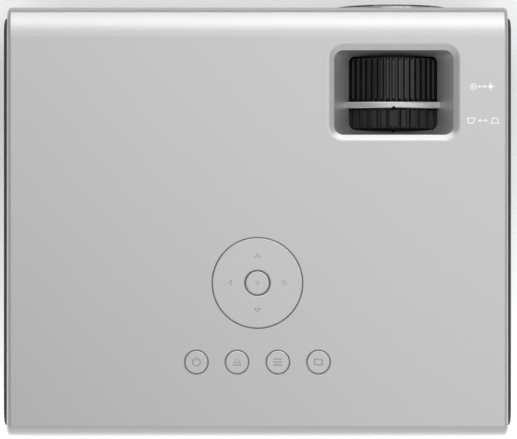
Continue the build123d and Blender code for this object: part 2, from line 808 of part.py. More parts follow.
def speakers():
    """Two small drivers behind the side panels' slots."""
    pair = []
    for side, y, z in ((1, -55.0, 54.0), (-1, -7.0, 42.0)):
        frame = plate_x(Pos(y, z) * RectangleRounded(56, 26, 5.0), (112.6, 115.0))
        magnet = rod_x(10.0, (104.5, 110.0), y, z)
        basket = plate_x(Pos(y, z) * RectangleRounded(44, 20, 8.0), (109.5, 113.0))
        cone = plate_x(Pos(y, z) * RectangleRounded(46, 20, 9.0), (114.0, 116.0))
        driver = frame + basket + magnet - cone
        pair.append(driver if side > 0 else mirror(driver, Plane.YZ))
    return group(pair)


# ---------------------------------------------------------------- disc drive
def drive_chassis():
    """Pressed pan of the disc drive, open in front, with runners for the slides."""
    x = (drive_x - drive_half, drive_x + drive_half)
    pan = block(x, drive_y, (drive_z[0], drive_z[1] - 0.8))
    hollow_x = (x[0] + 1.2, x[1] - 1.2)
    pan -= block(hollow_x, (drive_y[0] - 1, drive_y[1] - 0.8), (drive_z[0] + 0.8, 40))
    for side in (-1, 1):
        tongue = drive_x + side * (drive_half - 1.2 - 0.45)
        pan += block((tongue - 0.55, tongue + 0.55), (drive_y[0] + 2, drive_y[1] - 0.8), (25.0, 27.0))
    pan -= block((drive_x - 35, drive_x + 35), (-70, 10), (19, 19.8))
    return pan


def drive_cover():
    """Top plate of the drive with a pressed ring and two stand-offs."""
    x = (drive_x - drive_half, drive_x + drive_half)
    cover = block(x, drive_y, (drive_z[1] - 0.8, drive_z[1]))
    press = rod_z_axis(44.0, drive_x, spindle_y, (drive_z[1] - 0.1, drive_z[1] + 0.6))
    press -= rod_z_axis(38.0, drive_x, spindle_y, (drive_z[1] - 1, drive_z[1] + 1))
    cover += press
    for x in (-10.0, 100.0):
        cover += rod_z_axis(3.0, x, -12.0, (drive_z[1] - 0.1, mainboard_z[0]))
    return cover


def disc_tray():
    """Sliding tray with its disc seat, finger notches, pickup window and motor frame."""
    x = (drive_x - tray_half, drive_x + tray_half)
    tray = block(x, tray_y, (tray_low_z, tray_top_z))
    tray -= block((x[0] + 1.6, x[1] - 1.6), (tray_y[0] + 2, tray_y[1] - 1.5), (20, tray_plate_z))
    tray -= rod_z_axis(disc_radius + 0.6, drive_x, spindle_y, (tray_top_z - 1.6, 35))
    tray -= rod_z_axis(small_disc_radius + 0.6, drive_x, spindle_y, (tray_top_z - 2.0, 35))
    tray -= rod_z_axis(14.0, drive_x, spindle_y, (20, 35))
    window = (rod_start + 2.0, tray_y[1] - 2.4)
    tray -= block((drive_x - 15.5, drive_x + 15.5), window, (20, 35))
    for side in (-1, 1):
        notch = drive_x + side * (disc_radius - 2)
        tray -= rod_z_axis(9.0, notch, spindle_y + 8, (tray_top_z - 2.0, 35)) & block(x, tray_y, (20, 40))
        tongue = drive_x + side * (tray_half + 0.55)
        tray += block((tongue - 0.65, tongue + 0.65), (tray_y[0] + 6, tray_y[1]), (25.0, 27.0))
    for y in (rod_start, tray_y[1] - 1.0):
        tray += block((drive_x - 26, drive_x + 26), (y - 1.0, y + 1.0), (21.4, tray_plate_z))
    tray += block((drive_x - 14, drive_x + 14), (spindle_y - 15, spindle_y - 13), (21.4, tray_plate_z + 0.5))
    tray += block((drive_x - 14, drive_x + 14), (spindle_y - 15, rod_start), (21.2, 22.2))
    for side in (-1, 1):
        tray -= rod_y(1.5, drive_x + side * 17, (spindle_y + 7, 35), rod_z)
    tray -= rod_y(1.33, drive_x + screw_x, (spindle_y + 7, tray_y[1] - 1.2), rod_z)
    tray -= plate_y(Pos(drive_x + 47, 25.6) * Rectangle(9.4, 3.6), (tray_y[0] - 1, tray_y[0] + 3))
    return tray


def tray_bezel():
    """Front face of the tray, flush with the case."""
    middle_z = sum(drive_z) / 2 + 0.1
    face = plate_y(Pos(drive_x, middle_z) * RectangleRounded(*tray_face, 1.4), (front_y, tray_y[0]))
    face = chamfer(face.faces().sort_by(Axis.Y)[0].edges(), 0.4)
    face -= plate_y(Pos(drive_x + 47, 25.6) * Rectangle(9.4, 3.6), (front_y - 1, tray_y[0] + 1))
    face -= rod_y(0.7, drive_x + 36, (front_y - 1, tray_y[0] + 1), 25.6)
    return face


def eject_button():
    """Small key in the tray's face, with a flange behind the bezel."""
    key = plate_y(Pos(drive_x + 47, 25.6) * Rectangle(8.8, 3.0), (front_y - 0.3, tray_y[0] + 0.7))
    key = fillet(key.faces().sort_by(Axis.Y)[0].edges(), 0.3)
    return key


def tray_slides():
    """Two channel rails between the tray and the chassis, grooved on both faces."""
    rails = []
    for side in (-1, 1):
        outer = drive_x + side * (drive_half - 1.5)
        inner = drive_x + side * (tray_half + 0.3)
        x = (min(outer, inner), max(outer, inner))
        rail = block(x, (-84.0, 24.0), (23.2, 28.8))
        for edge, depth in ((inner, 1.05), (outer, 0.75)):
            cut = block((edge - depth, edge + depth), (-85.0, 25.0), (24.9, 27.1))
            rail -= cut
        rails.append(rail)
    return group(rails)


def spindle_motor():
    """Flat motor can under the middle of the disc seat."""
    can = rod_z_axis(11.0, drive_x, spindle_y, (22.2, 25.6))
    can += rod_z_axis(1.2, drive_x, spindle_y, (25, 29.4))
    return can


def spindle_hub():
    """Turning hub that centres the disc, with three sprung grips."""
    hub = rod_z_axis(13.0, drive_x, spindle_y, (26.4, 27.9))
    hub += rod_z_axis(7.3, drive_x, spindle_y, (27.8, 30.3))
    hub = chamfer(hub.edges().sort_by(Axis.Z)[-1], 0.8)
    for step in range(3):
        turn = Pos(drive_x, spindle_y) * Rot(0, 0, step * 120 + 90)
        hub += turn * Pos(6.7, 0, 29.0) * Box(1.6, 2.0, 0.8)
    return hub - rod_z_axis(1.27, drive_x, spindle_y, (25, 29.6))


def guide_rods():
    """Two ground rods of the pickup sled."""
    rods = [
        rod_y(1.5, drive_x + side * 17, (rod_start - 0.9, tray_y[1] - 0.2), rod_z)
        for side in (-1, 1)
    ]
    return group(rods)


def pickup_sled():
    """Laser sled on its two rods, with the half nut that the lead screw drives."""
    y = spindle_y + sled_start
    sled = block((drive_x - 20, drive_x + 20), (y - 6, y + 6), (21.4, 25.9))
    sled -= rod_y(1.56, drive_x - 17, (y - 7, y + 7), rod_z)
    sled -= rod_y(1.56, drive_x + 17, (y - 7, y + 7), rod_z)
    sled += block((drive_x - 11, drive_x + 11), (y - 5, y + 5), (25.8, 26.8))
    sled -= rod_z_axis(3.0, drive_x, y, (25.0, 30))
    sled -= rod_y(1.4, drive_x + screw_x, (y - 7, y + 7), rod_z)
    for step in (-3.0, 0.0, 3.0):
        sled += block((drive_x + 19.5, drive_x + 20.5), (y + step - 0.5, y + step + 0.5), (22.6, 24.6))
    return sled


def pickup_lens():
    """Objective lens in the sled."""
    y = spindle_y + sled_start
    lens = rod_z_axis(3.0, drive_x, y, (25.0, 27.0))
    return chamfer(lens.edges().sort_by(Axis.Z)[-1], 0.5)


def lead_screw():
    """Screw that drives the sled."""
    return rod_y(1.25, drive_x + screw_x, (spindle_y + 5.0, tray_y[1] - 1.4), rod_z)


def sled_motor():
    """Stepper can at the front end of the lead screw."""
    body = rod_y(2.7, drive_x + screw_x, (spindle_y - 5.0, spindle_y + 4.6), rod_z)
    bracket_x = (drive_x + screw_x - 3.5, drive_x + screw_x + 3.5)
    bracket = block(bracket_x, (spindle_y - 5.6, spindle_y - 5.0), (21.0, tray_plate_z))
    return body + bracket


# ---------------------------------------------------------------- controls
def nav_ring():
    """Rocking direction ring: flat top with eased edges, flange, pivot lugs and four pushers."""
    y = nav_y
    ring = rod_z_axis(nav_radius, 0, y, (76.6, case_top)) - rod_z_axis(nav_hub, 0, y, (76, 90))
    ring = fillet(ring.edges().filter_by_position(Axis.Z, case_top - 0.01, case_top + 0.01), 0.45)
    ring += rod_z_axis(22.4, 0, y, (75.0, 76.3)) + rod_z_axis(19.0, 0, y, (76.2, 76.7))
    ring -= rod_z_axis(nav_hub, 0, y, (70, case_top - 1.0))
    ring -= rod_z_axis(8.6, 0, y, (70, case_top - 2.6))
    for side in (-1, 1):
        lug_y = y + side * 15.5
        lug = block((-3, 3), (lug_y - 1.0, lug_y + 1.0), (69.8, 75.5))
        ring += lug - rod_y(1.28, 0, (lug_y - 2, lug_y + 2), nav_pivot_z)
    for angle in (0, 90, 180, 270):
        place = Pos(0, y) * Rot(0, 0, angle) * Pos(20.2, 0)
        ring += place * rod_z_axis(1.3, 0, 0, (stem_end_z, 75.5))
        ring -= sunk_sign(Pos(0, y) * Rot(0, 0, angle) * Pos(0, arrow_radius) * arrow_icon())
    return ring


def nav_gimbal():
    """Cross ring that lets the direction ring rock both ways."""
    y, z = nav_y, nav_pivot_z
    gimbal = rod_z_axis(12.5, 0, y, (z - 1.6, z + 1.6)) - rod_z_axis(9.0, 0, y, (z - 2, z + 2))
    for side in (-1, 1):
        gimbal += rod_x(1.2, (min(side * 12, side * 16.4), max(side * 12, side * 16.4)), y, z)
        ends = (y + min(side * 12, side * 16.4), y + max(side * 12, side * 16.4))
        gimbal += rod_y(1.2, 0, ends, z)
    return gimbal


def nav_bracket():
    """Bearing bracket on the key board that carries the gimbal."""
    y = nav_y
    bracket = rod_z_axis(16.5, 0, y, (board_z[1], board_z[1] + 1.4)) - rod_z_axis(12.5, 0, y, (60, 65))
    for side in (-1, 1):
        x = side * 15.5
        post = block((x - 1.0, x + 1.0), (y - 3, y + 3), (board_z[1] + 0.5, nav_pivot_z + 2.6))
        bracket += post - rod_x(1.28, (x - 2, x + 2), y, nav_pivot_z)
    return bracket


def sunk_sign(sign):
    """Cutter that sinks a flat sign into a top face, with sloping walls."""
    return extrude(Pos(0, 0, case_top) * sign, sign_depth, dir=(0, 0, -1), taper=sign_taper)


def key_cap(x, y, radius, flange_z, icon):
    """Push key: cap with an eased edge, retaining flange and stem, with a sunk sign."""
    cap = rod_z_axis(radius, x, y, (flange_z + 1.0, case_top))
    cap = fillet(cap.edges().sort_by(Axis.Z)[-1], 0.5)
    cap += rod_z_axis(radius + 2.0, x, y, (flange_z, flange_z + 1.2))
    cap += rod_z_axis(1.6, x, y, (stem_end_z, flange_z + 0.5))
    return cap - sunk_sign(Pos(x, y) * icon)


def arrow_icon():
    return make_face(Polyline((-1.6, -0.9), (1.6, -0.9), (0, 0.9), close=True))


def power_icon():
    ring = Circle(2.1) - Circle(1.5) - Pos(0, -1.9) * Rectangle(1.7, 1.6)
    return ring + Pos(0, -1.7) * Rectangle(0.6, 1.9)


def open_icon():
    triangle = make_face(Polyline((-1.8, 0.4), (1.8, 0.4), (0, -1.9), close=True))
    return triangle + Pos(0, 1.3) * Rectangle(3.6, 0.7)


def menu_icon():
    return Sketch() + [Pos(0, step) * Rectangle(3.8, 0.6) for step in (-1.4, 0, 1.4)]


def source_icon():
    return Rectangle(4.2, 3.2) - Rectangle(3.0, 2.0)


def key_board():
    """Circuit board under the keys."""
    board = block((-34.0, 42.0), (5.0, 82.0), board_z)
    board += block((30.0, 40.0), (36.0, 52.0), (board_z[0] - 4.0, board_z[0] + 0.1))
    return board


def key_switches():
    """Nine tact switches under the ring, the centre button and the keys."""
    places = [(0, nav_y)] + [(x, key_y) for x in key_x]
    for quarter in range(4):
        turn = quarter * math.pi / 2
        places.append((ring_switch_radius * math.cos(turn), nav_y + ring_switch_radius * math.sin(turn)))
    switches = []
    for x, y in places:
        body = block((x - 3, x + 3), (y - 3, y + 3), (board_z[1], board_z[1] + 3.4))
        switches.append(body + rod_z_axis(1.7, x, y, (board_z[1] + 3.3, stem_end_z - key_travel - 0.1)))
    return group(switches)


# ---------------------------------------------------------------- electronics
def main_board():
    """Main circuit board over the drive, with its larger components."""
    board = block(mainboard_x, mainboard_y, mainboard_z)
    top = mainboard_z[1]
    board += block((20, 50), (10, 40), (top - 0.1, top + 2.0))
    for step in range(7):
        y = 12.5 + step * 4.2
        board += block((20, 50), (y - 0.6, y + 0.6), (top + 1.9, top + 9.0))
    for x, y, radius, height in ((70, 20, 5, 14), (84, 20, 5, 14), (70, 34, 4, 11), (-15, 60, 5, 16)):
        board += rod_z_axis(radius, x, y, (top - 0.1, top + height))
    board += block((-10, 10), (70, 84), (top - 0.1, top + 10))
    board += block((40, 66), (60, 64), (top - 0.1, top + 6))
    for x, y in ((-10.0, -12.0), (100.0, -12.0), (-16.0, 84.0), (96.0, 84.0)):
        board -= rod_z_axis(1.6, x, y, (mainboard_z[0] - 1, top + 1))
    return board


def video_socket():
    """Video input with its tongue."""
    z = socket_z + 3.2
    shell = plate_x(Pos(video_y, z) * RectangleRounded(15.0, 6.2, 0.8), (104.0, 118.6))
    shell -= plate_x(Pos(video_y, z) * Rectangle(14.0, 4.6), (108.0, 119.0))
    return shell + block((107.5, 117.0), (video_y - 6.0, video_y + 6.0), (z - 0.6, z + 0.6))


def usb_socket():
    """Data socket with its tongue."""
    z = socket_z + 3.6
    shell = plate_x(Pos(data_y, z) * RectangleRounded(13.2, 6.4, 0.5), (104.0, 118.6))
    shell -= plate_x(Pos(data_y, z) * Rectangle(12.5, 5.1), (106.0, 119.0))
    return shell + block((105.5, 117.0), (data_y - 5.6, data_y + 5.6), (z + 0.3, z + 2.0))


def audio_socket():
    """Round audio and video jack."""
    z = socket_z + 4.0
    jack = block((105.0, 115.0), (audio_y - 4.5, audio_y + 4.5), (socket_z, socket_z + 8.0))
    jack += rod_x(3.8, (114.5, 118.6), audio_y, z)
    return jack - rod_x(1.8, (107.0, 119.0), audio_y, z)


def power_socket():
    """Low-voltage inlet with its centre pin."""
    z = socket_z + 5.0
    inlet = block((104.0, 115.0), (power_y - 4.8, power_y + 4.8), (socket_z, socket_z + 10.0))
    inlet += rod_x(4.4, (114.5, 118.6), power_y, z)
    inlet -= rod_x(2.9, (108.0, 119.0), power_y, z)
    return inlet + rod_x(1.0, (107.5, 117.6), power_y, z)


# ---------------------------------------------------------------- nodes
def main():
    os.makedirs("parts", exist_ok=True)
    case = {
        "top_cover": top_cover(),
        "bottom_cover": bottom_cover(),
        "disc_side_panel": disc_side_panel(),
        "lens_side_panel": lens_side_panel(),
        "rubber_feet": rubber_feet(),
        "case_screws": case_screws(),
        "tripod_insert": tripod_insert(),
        "foot_pad": foot_pad(),
        "foot_screw": foot_screw(),
        "ir_window": ir_window(),
    }
    lens = {
        "lens_bezel": lens_bezel(),
        "lens_tube": lens_tube(),
        "ring_spacers": ring_spacers(),
        "focus_ring": focus_ring(),
        "keystone_ring": keystone_ring(),
        "cam_pins": cam_pins(),
        "lens_barrel": lens_barrel(),
        "front_glass": lens_disc(19.6, (-87.6, -83.0), 0.6, 0),
        "rear_glass": lens_disc(18.6, (-56.0, -53.0), 0, 2.5),
    }
    engine = {
        "keystone_slider": keystone_slider(),
        "lcd_carrier": lcd_carrier(),
        "lcd_panel": lcd_panel(),
        "engine_housing": engine_housing(),
        "engine_lid": engine_lid(),
        "fresnel_lenses": fresnel_lenses(),
        "condenser_lens": condenser_lens(),
        "led_module": led_module(),
        "heat_sink": heat_sink(),
        "fan_frame": fan_frame(),
        "fan_rotor": fan_rotor(),
        "speakers": speakers(),
    }
    drive = {
        "drive_chassis": drive_chassis(),
        "drive_cover": drive_cover(),
        "disc_tray": disc_tray(),
        "tray_bezel": tray_bezel(),
        "eject_button": eject_button(),
        "tray_slides": tray_slides(),
        "spindle_motor": spindle_motor(),
        "spindle_hub": spindle_hub(),
        "guide_rods": guide_rods(),
        "pickup_sled": pickup_sled(),
        "pickup_lens": pickup_lens(),
        "lead_screw": lead_screw(),
        "sled_motor": sled_motor(),
    }
    controls = {
        "nav_ring": nav_ring(),
        "nav_gimbal": nav_gimbal(),
        "nav_bracket": nav_bracket(),
        "centre_button": key_cap(0, nav_y, nav_button_radius, 74.4, Circle(0.8)),
        "power_button": key_cap(key_x[3], key_y, key_radius, 76.0, power_icon()),
        "open_button": key_cap(key_x[2], key_y, key_radius, 76.0, open_icon()),
        "menu_button": key_cap(key_x[1], key_y, key_radius, 76.0, menu_icon()),
        "source_button": key_cap(key_x[0], key_y, key_radius, 76.0, source_icon()),
        "key_board": key_board(),
        "key_switches": key_switches(),
        "main_board": main_board(),
        "video_socket": video_socket(),
        "usb_socket": usb_socket(),
        "audio_socket": audio_socket(),
        "power_socket": power_socket(),
    }
    for nodes in (case, lens, engine, drive, controls):
        for node, piece in nodes.items():
            save(node, piece)


main()
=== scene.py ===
# silver tabletop projector with a disc tray: finishes, small detail, light and camera
import bpy
import math
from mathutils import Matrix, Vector


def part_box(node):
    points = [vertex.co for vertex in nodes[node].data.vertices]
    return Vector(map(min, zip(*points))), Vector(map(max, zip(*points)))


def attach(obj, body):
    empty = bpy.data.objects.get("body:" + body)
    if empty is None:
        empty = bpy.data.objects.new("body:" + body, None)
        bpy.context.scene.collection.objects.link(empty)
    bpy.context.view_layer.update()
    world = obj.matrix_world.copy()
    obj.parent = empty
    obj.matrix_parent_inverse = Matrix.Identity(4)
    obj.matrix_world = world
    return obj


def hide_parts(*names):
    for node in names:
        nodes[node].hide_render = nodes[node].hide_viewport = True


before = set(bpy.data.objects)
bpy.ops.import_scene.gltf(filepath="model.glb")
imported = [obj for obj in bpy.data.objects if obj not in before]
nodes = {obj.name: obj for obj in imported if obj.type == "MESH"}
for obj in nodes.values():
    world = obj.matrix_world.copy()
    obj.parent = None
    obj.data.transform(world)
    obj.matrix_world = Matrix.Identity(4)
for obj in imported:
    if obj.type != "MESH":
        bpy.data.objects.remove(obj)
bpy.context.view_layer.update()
bpy.ops.object.select_all(action="DESELECT")
print("frame loaded:", len(nodes), "nodes")

mm = 0.001      # sizes below are in metres for camera, floor and lights, and in millimetres for the pieces
caseLow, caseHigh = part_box("top_cover")
topZ = caseHigh.z
middleY = (caseLow.y + caseHigh.y) / 2
ringLow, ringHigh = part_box("focus_ring")
lensX = (ringLow.x + ringHigh.x) / 2
lensZ = (ringLow.z + ringHigh.z) / 2


view = {
    "aboveTop": 1.40,       # camera height over the case top
    "frameWidth": 0.243,    # width of the picture at the case top
    "sensor": 36.0,
    "aimX": -0.0005,
    "aimY": -0.0009,
    "clipStart": 0.05,
}


def addCamera():
    stand = (view["aimX"], middleY + view["aimY"], topZ + view["aboveTop"])
    bpy.ops.object.camera_add(location=stand, rotation=(0, 0, math.pi))
    cameraObject = bpy.context.object
    cameraObject.name = "overheadCamera"
    cameraObject.data.sensor_width = view["sensor"]
    cameraObject.data.lens = view["sensor"] * view["aboveTop"] / view["frameWidth"]
    cameraObject.data.clip_start = view["clipStart"]
    bpy.context.scene.camera = cameraObject


studio = {
    "floorSize": 6.0,
    # the floor's front tone is darker: painted shade standing in for the shadow that falls in front of the case
    "floorFrontPaintedShade": (0.89, 0.89, 0.89),
    "floorRear": (0.95, 0.95, 0.945),
    "floorShadeFade": (-0.15, 0.15),     # the floor turns from its darker front tone, painted shade, to the rear tone over this depth
    "floorRough": 0.9,
    "rearPaintedLight": 0.70,       # painted light: the floor glows a little towards the rear, standing in for light from behind
    "paintedLightFade": (-0.12, 0.22),
    "worldColor": (0.99, 0.99, 1.0, 1),
    "worldFront": 0.40,
    "worldRear": 1.04,      # a bright wall behind the object
    "worldFade": 0.8,       # how far round to the rear the wall is at its brightest
    "horizonLift": 0.45,    # how far the bright wall comes round the sides, low down
    "topBox": {"place": (-0.56, -0.54, 2.30), "aim": (0, 0, 0.05), "size": (2.2, 2.3), "power": 17.1},
    "frontBox": {"place": (-0.10, -1.50, 1.50), "aim": (0, 0, 0.05), "size": (2.4, 1.25), "power": 21.0},
}


def addSoftBox(name, box):
    bpy.ops.object.light_add(type="AREA", location=box["place"])
    light = bpy.context.object
    light.name = name
    light.data.shape = "RECTANGLE"
    light.data.size, light.data.size_y = box["size"]
    light.data.energy = box["power"]
    aim = Vector(box["aim"]) - Vector(box["place"])
    light.rotation_euler = aim.to_track_quat("-Z", "Y").to_euler()


def addWorld():
    # dim in front and bright behind, with the bright part reaching further round near the horizon
    world = bpy.data.worlds.new("studioWorld")
    world.use_nodes = True
    tree = world.node_tree
    background = tree.nodes["Background"]
    background.inputs["Color"].default_value = studio["worldColor"]
    direction = tree.nodes.new("ShaderNodeTexCoord")
    parts = tree.nodes.new("ShaderNodeSeparateXYZ")
    tree.links.new(direction.outputs["Generated"], parts.inputs["Vector"])
    height = tree.nodes.new("ShaderNodeMath")
    height.operation = "ABSOLUTE"
    tree.links.new(parts.outputs["Z"], height.inputs[0])
    lift = addRange(tree, height.outputs["Value"], studio["horizonLift"], 0.0)
    reach = tree.nodes.new("ShaderNodeMath")
    reach.operation = "ADD"
    tree.links.new(parts.outputs["Y"], reach.inputs[0])
    tree.links.new(lift, reach.inputs[1])
    strength = addRange(tree, reach.outputs["Value"], studio["worldFront"], studio["worldRear"],
                        (0.0, studio["worldFade"]), soft=True)
    tree.links.new(strength, background.inputs["Strength"])
    bpy.context.scene.world = world


def addStudio():
    bpy.ops.mesh.primitive_plane_add(size=studio["floorSize"], location=(0, 0, 0))
    floor = bpy.context.object
    floor.name = "floor"
    floor.data.materials.append(floorFinish())
    for name in ("topBox", "frontBox"):
        addSoftBox(name, studio[name])
    addWorld()
    bpy.context.scene.view_settings.view_transform = "Standard"


def newFinish(name):
    finish = bpy.data.materials.new(name)
    finish.use_nodes = True
    tree = finish.node_tree
    shader = tree.nodes["Principled BSDF"]
    coords = tree.nodes.new("ShaderNodeTexCoord")
    return finish, tree, shader, coords.outputs["Object"]


def addNoise(tree, coords, scale, detail=2.0, rough=0.5):
    noise = tree.nodes.new("ShaderNodeTexNoise")
    noise.inputs["Scale"].default_value = scale
    noise.inputs["Detail"].default_value = detail
    noise.inputs["Roughness"].default_value = rough
    tree.links.new(coords, noise.inputs["Vector"])
    return noise.outputs["Fac"]


def addStretch(tree, coords, stretch):
    mapping = tree.nodes.new("ShaderNodeMapping")
    mapping.inputs["Scale"].default_value = stretch
    tree.links.new(coords, mapping.inputs["Vector"])
    return mapping.outputs["Vector"]


def addRamp(tree, value, dark, light, low=0.3, high=0.7):
    ramp = tree.nodes.new("ShaderNodeValToRGB")
    ramp.color_ramp.elements[0].position = low
    ramp.color_ramp.elements[1].position = high
    ramp.color_ramp.elements[0].color = (*dark, 1)
    ramp.color_ramp.elements[1].color = (*light, 1)
    tree.links.new(value, ramp.inputs["Fac"])
    return ramp.outputs["Color"]


def addRange(tree, value, low, high, reach=(0.0, 1.0), soft=False):
    # low and high are the values at the two ends of the reach
    span = tree.nodes.new("ShaderNodeMapRange")
    if soft:
        span.interpolation_type = "SMOOTHSTEP"
    span.inputs["From Min"].default_value, span.inputs["From Max"].default_value = reach
    span.inputs["To Min"].default_value = low
    span.inputs["To Max"].default_value = high
    tree.links.new(value, span.inputs["Value"])
    return span.outputs["Result"]


def addBump(tree, shader, height, distance):
    bump = tree.nodes.new("ShaderNodeBump")
    bump.inputs["Distance"].default_value = distance
    bump.inputs["Strength"].default_value = 1.0
    tree.links.new(height, bump.inputs["Height"])
    tree.links.new(bump.outputs["Normal"], shader.inputs["Normal"])


def floorFinish():
    finish, tree, shader, coords = newFinish("floorWithPaintedShadeAndLight")
    depth = tree.nodes.new("ShaderNodeSeparateXYZ")
    tree.links.new(coords, depth.inputs["Vector"])
    # painted shade: the floor is darker towards the front
    fade = addRange(tree, depth.outputs["Y"], 0.0, 1.0, studio["floorShadeFade"])
    color = addRamp(tree, fade, studio["floorFrontPaintedShade"], studio["floorRear"], 0.0, 1.0)
    tree.links.new(color, shader.inputs["Base Color"])
    shader.inputs["Roughness"].default_value = studio["floorRough"]
    shader.inputs["Emission Color"].default_value = (1, 1, 1, 1)
    # painted light: emission brightens the floor towards the rear
    paintedLight = addRange(tree, depth.outputs["Y"], 0.0, studio["rearPaintedLight"], studio["paintedLightFade"], soft=True)
    tree.links.new(paintedLight, shader.inputs["Emission Strength"])
    return finish


# sprayed lacquer: fine flakes, a slightly uneven gloss and a faint orange peel
silver = {
    "dark": (0.44, 0.437, 0.433),
    "light": (0.48, 0.477, 0.473),
    "flakeScale": 2600.0,
    "cloudScale": 9.0,
    "metallic": 0.82,
    "roughLow": 0.34,
    "roughHigh": 0.40,
    "peelScale": 420.0,
    "peelDepth": 0.000012,
    "keyFlakes": 1.4,       # the keys' flakes are finer than the case's
    "keyLift": 0.01,        # and their tone is a little lighter
}


def silverFinish(name, scale=1.0, lift=0.0):
    finish, tree, shader, coords = newFinish(name)
    flakes = addNoise(tree, coords, silver["flakeScale"] * scale, 1.0)
    dark = tuple(value + lift for value in silver["dark"])
    light = tuple(value + lift for value in silver["light"])
    tree.links.new(addRamp(tree, flakes, dark, light), shader.inputs["Base Color"])
    cloud = addNoise(tree, coords, silver["cloudScale"], 3.0)
    rough = addRange(tree, cloud, silver["roughLow"], silver["roughHigh"])
    tree.links.new(rough, shader.inputs["Roughness"])
    shader.inputs["Metallic"].default_value = silver["metallic"]
    peel = addNoise(tree, coords, silver["peelScale"], 2.0)
    addBump(tree, shader, peel, silver["peelDepth"])
    return finish


# moulded, printed and rubber surfaces; the grain's depth is in metres
grains = {
    "darkShell": {"name": "darkTexturedPlastic", "dark": (0.022, 0.023, 0.025), "light": (0.027, 0.0285, 0.031),
                  "scale": 1400, "depth": 0.00003, "rough": (0.46, 0.58), "shine": 0.4},
    "gloss": {"name": "blackGloss", "dark": (0.004, 0.004, 0.005), "light": (0.008, 0.008, 0.009),
              "scale": 300, "depth": 0.000002, "rough": (0.05, 0.1), "coat": 0.6},
    "matt": {"name": "mattBlackPlastic", "dark": (0.006, 0.006, 0.0065), "light": (0.011, 0.011, 0.0115),
             "scale": 1800, "depth": 0.00002, "rough": (0.4, 0.55), "shine": 0.3},
    "ringBlack": {"name": "satinRingBlack", "dark": (0.004, 0.004, 0.0045), "light": (0.008, 0.008, 0.0085),
                  "scale": 1600, "depth": 0.00001, "rough": (0.20, 0.27), "shine": 0.42},
    "rubber": {"name": "footRubber", "dark": (0.012, 0.012, 0.012), "light": (0.022, 0.022, 0.022),
               "scale": 900, "depth": 0.00004, "rough": (0.75, 0.9)},
    "smoked": {"name": "smokedWindow", "dark": (0.012, 0.002, 0.004), "light": (0.02, 0.004, 0.006),
               "scale": 200, "depth": 0.000002, "rough": (0.04, 0.08), "coat": 0.5},
    "print": {"name": "paleInk", "dark": (0.80, 0.80, 0.79), "light": (0.90, 0.90, 0.89),
              "scale": 900, "depth": 0.000004, "rough": (0.4, 0.5)},
    "darkInk": {"name": "darkInk", "dark": (0.03, 0.03, 0.032), "light": (0.05, 0.05, 0.052),
                "scale": 900, "depth": 0.000004, "rough": (0.4, 0.5)},
    "lamp": {"name": "greenLampLens", "dark": (0.01, 0.10, 0.03), "light": (0.02, 0.18, 0.05),
             "scale": 200, "depth": 0.000002, "rough": (0.05, 0.1), "coat": 0.5},
    "paper": {"name": "conePaper", "dark": (0.020, 0.020, 0.021), "light": (0.045, 0.044, 0.043),
              "scale": 2400, "depth": 0.00006, "rough": (0.7, 0.9)},
}


def grainFinish(grain):
    finish, tree, shader, coords = newFinish(grain["name"])
    tone = addNoise(tree, coords, grain["scale"] * 0.05, 4.0)    # the tone drifts over patches 20 grains wide
    tree.links.new(addRamp(tree, tone, grain["dark"], grain["light"]), shader.inputs["Base Color"])
    bumps = addNoise(tree, coords, grain["scale"], 3.0, 0.6)
    tree.links.new(addRange(tree, bumps, *grain["rough"]), shader.inputs["Roughness"])
    addBump(tree, shader, bumps, grain["depth"])
    shader.inputs["Coat Weight"].default_value = grain.get("coat", 0.0)
    shader.inputs["Specular IOR Level"].default_value = grain.get("shine", 0.5)
    return finish


# ground, rolled and turned metal: the noise is stretched along the tool's marks
metals = {
    "steel": {"name": "groundSteel", "dark": (0.42, 0.42, 0.43), "light": (0.58, 0.58, 0.59),
              "stretch": (1, 1, 20), "scale": 300, "rough": (0.2, 0.35), "depth": 0.000004},
    "zinc": {"name": "zincSheet", "dark": (0.40, 0.41, 0.42), "light": (0.56, 0.57, 0.58),
             "stretch": (1, 1, 1), "scale": 90, "rough": (0.3, 0.45), "depth": 0.000006},
    "aluminium": {"name": "extrudedAluminium", "dark": (0.50, 0.51, 0.52), "light": (0.64, 0.65, 0.66),
                  "stretch": (12, 1, 1), "scale": 200, "rough": (0.3, 0.42), "depth": 0.000006},
    "anodised": {"name": "blackAnodised", "dark": (0.012, 0.012, 0.014), "light": (0.03, 0.03, 0.033),
                 "stretch": (1, 12, 1), "scale": 500, "rough": (0.3, 0.42), "depth": 0.000004},
    "brass": {"name": "turnedBrass", "dark": (0.52, 0.36, 0.13), "light": (0.68, 0.50, 0.22),
              "stretch": (1, 1, 14), "scale": 400, "rough": (0.2, 0.32), "depth": 0.000004},
}


def metalFinish(metal):
    finish, tree, shader, coords = newFinish(metal["name"])
    lines = addNoise(tree, addStretch(tree, coords, metal["stretch"]), metal["scale"], 3.0)
    tree.links.new(addRamp(tree, lines, metal["dark"], metal["light"]), shader.inputs["Base Color"])
    tree.links.new(addRange(tree, lines, *metal["rough"]), shader.inputs["Roughness"])
    shader.inputs["Metallic"].default_value = 1.0
    addBump(tree, shader, lines, metal["depth"])
    return finish


# the front glass is tinted and coated; the coating's thickness is in nanometres
glasses = {
    "glass": {"name": "clearGlass", "dark": (0.88, 0.92, 0.96), "light": (0.93, 0.96, 0.99), "rough": 0.02,
              "coating": 0.0},
    "coatedGlass": {"name": "coatedGlass", "dark": (0.62, 0.60, 0.90), "light": (0.66, 0.64, 0.93), "rough": 0.01,
                    "coating": 105.0},
}
glassIor = 1.52
coatingIor = 1.38
glassCloud = 60.0


